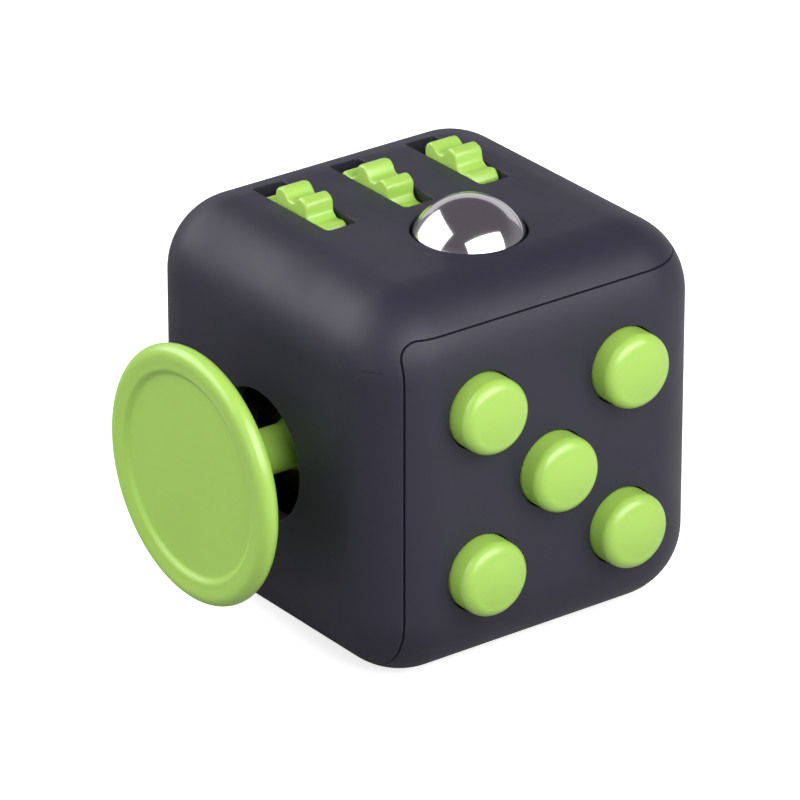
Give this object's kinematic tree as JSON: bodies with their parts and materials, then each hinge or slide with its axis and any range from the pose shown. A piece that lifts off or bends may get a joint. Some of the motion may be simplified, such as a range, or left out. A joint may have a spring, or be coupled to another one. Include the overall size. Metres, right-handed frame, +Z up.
{
  "type": "fidget cube",
  "caption": "Rounded charcoal hand-toy cube with lime push buttons, toothed wheels, a steel ball, a thumb stick, a flip rocker, a spinning dial and a thumb dish.",
  "frame": {"origin": "middle of the bottom face, which the cube stands on", "axes": "+Z up; the button face looks along -Y, the stick face along -X, the dial face along +X, the rocker face along +Y"},
  "size_m": [0.0416, 0.0372, 0.0358],
  "materials": {
    "charcoal_soft_touch": "matte soft-touch, fine grain",
    "lime_plastic": "semi-gloss moulded",
    "polished_steel": "polished bearing ball",
    "black_plastic": "matte moulded",
    "grey_plastic": "satin moulded",
    "white_nylon": "satin moulded",
    "black_silicone": "matte silicone",
    "spring_steel": "bright strip and wire",
    "zinc_steel": "zinc plated"
  },
  "bodies": {
    "cube": {"shell_front_half": "charcoal_soft_touch", "shell_rear_half": "charcoal_soft_touch", "button_dome_pad": "black_silicone", "click_snap_domes": "spring_steel", "click_backplate": "grey_plastic", "click_plate_screws": "zinc_steel", "wheel_axle": "zinc_steel", "wheel_bracket": "grey_plastic", "wheel_click_spring": "spring_steel", "wheel_bracket_screws": "zinc_steel", "ball_spring": "spring_steel", "ball_snap_dome": "spring_steel", "ball_housing": "grey_plastic", "ball_housing_screws": "zinc_steel", "stick_spring": "spring_steel", "stick_socket_ring": "black_plastic", "stick_housing": "black_plastic", "stick_housing_screws": "zinc_steel", "rocker_pin": "zinc_steel", "rocker_housing": "black_plastic", "rocker_click_spring": "spring_steel", "rocker_housing_screws": "zinc_steel"},
    "button_top_left": {"button_top_left": "lime_plastic"},
    "button_top_right": {"button_top_right": "lime_plastic"},
    "button_centre": {"button_centre": "lime_plastic"},
    "button_bottom_left": {"button_bottom_left": "lime_plastic"},
    "button_bottom_right": {"button_bottom_right": "lime_plastic"},
    "wheel_left": {"wheel_left": "lime_plastic"},
    "wheel_middle": {"wheel_middle": "lime_plastic"},
    "wheel_right": {"wheel_right": "lime_plastic"},
    "ball_plunger": {"ball_cup": "grey_plastic"},
    "ball_turner": {"ball_seat": "white_nylon"},
    "ball": {"roll_ball": "polished_steel"},
    "stick_pivot": {"stick_cup": "white_nylon"},
    "stick": {"stick_disc": "lime_plastic", "stick_stem": "lime_plastic"},
    "rocker": {"rocker": "lime_plastic"},
    "dial": {"dial": "lime_plastic", "dial_washer": "white_nylon", "dial_screw": "zinc_steel"}
  },
  "joints": [
    {"name": "button_top_left_press", "type": "slide", "parent": "cube", "child": "button_top_left", "axis": [0, 1, 0], "range_m": [0, 0.0009], "stiffness_N_per_m": 300, "deforming": ["button_dome_pad", "click_snap_domes"]},
    {"name": "button_top_right_press", "type": "slide", "parent": "cube", "child": "button_top_right", "axis": [0, 1, 0], "range_m": [0, 0.0009], "stiffness_N_per_m": 300, "deforming": ["button_dome_pad"]},
    {"name": "button_centre_press", "type": "slide", "parent": "cube", "child": "button_centre", "axis": [0, 1, 0], "range_m": [0, 0.0009], "stiffness_N_per_m": 300, "deforming": ["button_dome_pad", "click_snap_domes"]},
    {"name": "button_bottom_left_press", "type": "slide", "parent": "cube", "child": "button_bottom_left", "axis": [0, 1, 0], "range_m": [0, 0.0009], "stiffness_N_per_m": 300, "deforming": ["button_dome_pad"]},
    {"name": "button_bottom_right_press", "type": "slide", "parent": "cube", "child": "button_bottom_right", "axis": [0, 1, 0], "range_m": [0, 0.0009], "stiffness_N_per_m": 300, "deforming": ["button_dome_pad", "click_snap_domes"]},
    {"name": "wheel_left_spin", "type": "hinge", "parent": "cube", "child": "wheel_left", "pos_m": [-0.0076, 0.00585, 0.0299], "axis": [1, 0, 0], "continuous": true, "deforming": ["wheel_click_spring"]},
    {"name": "wheel_middle_spin", "type": "hinge", "parent": "cube", "child": "wheel_middle", "pos_m": [0, 0.00585, 0.0299], "axis": [1, 0, 0], "continuous": true, "deforming": ["wheel_click_spring"]},
    {"name": "wheel_right_spin", "type": "hinge", "parent": "cube", "child": "wheel_right", "pos_m": [0.0076, 0.00585, 0.0299], "axis": [1, 0, 0], "continuous": true, "deforming": ["wheel_click_spring"]},
    {"name": "ball_press", "type": "slide", "parent": "cube", "child": "ball_plunger", "axis": [0, 0, -1], "range_m": [0, 0.0009], "stiffness_N_per_m": 1200, "deforming": ["ball_spring", "ball_snap_dome"]},
    {"name": "ball_turn", "type": "hinge", "parent": "ball_plunger", "child": "ball_turner", "pos_m": [0, -0.0057, 0.03075], "axis": [0, 0, 1], "continuous": true},
    {"name": "ball_roll", "type": "hinge", "parent": "ball_turner", "child": "ball", "pos_m": [0, -0.0057, 0.03075], "axis": [1, 0, 0], "continuous": true},
    {"name": "stick_tilt_up_down", "type": "hinge", "parent": "cube", "child": "stick_pivot", "pos_m": [-0.0123, 0, 0.0159], "axis": [0, 1, 0], "range_deg": [-10, 10], "stiffness_Nm_per_rad": 0.06, "deforming": ["stick_spring"]},
    {"name": "stick_tilt_sideways", "type": "hinge", "parent": "stick_pivot", "child": "stick", "pos_m": [-0.0123, 0, 0.0159], "axis": [0, 0, 1], "range_deg": [-10, 10], "stiffness_Nm_per_rad": 0.06},
    {"name": "rocker_flip", "type": "hinge", "parent": "cube", "child": "rocker", "pos_m": [0, 0.01365, 0.0165], "axis": [1, 0, 0], "range_deg": [0, 24], "deforming": ["rocker_click_spring"]},
    {"name": "dial_spin", "type": "hinge", "parent": "cube", "child": "dial", "pos_m": [0.0165, 0, 0.0165], "axis": [1, 0, 0], "continuous": true}
  ]
}
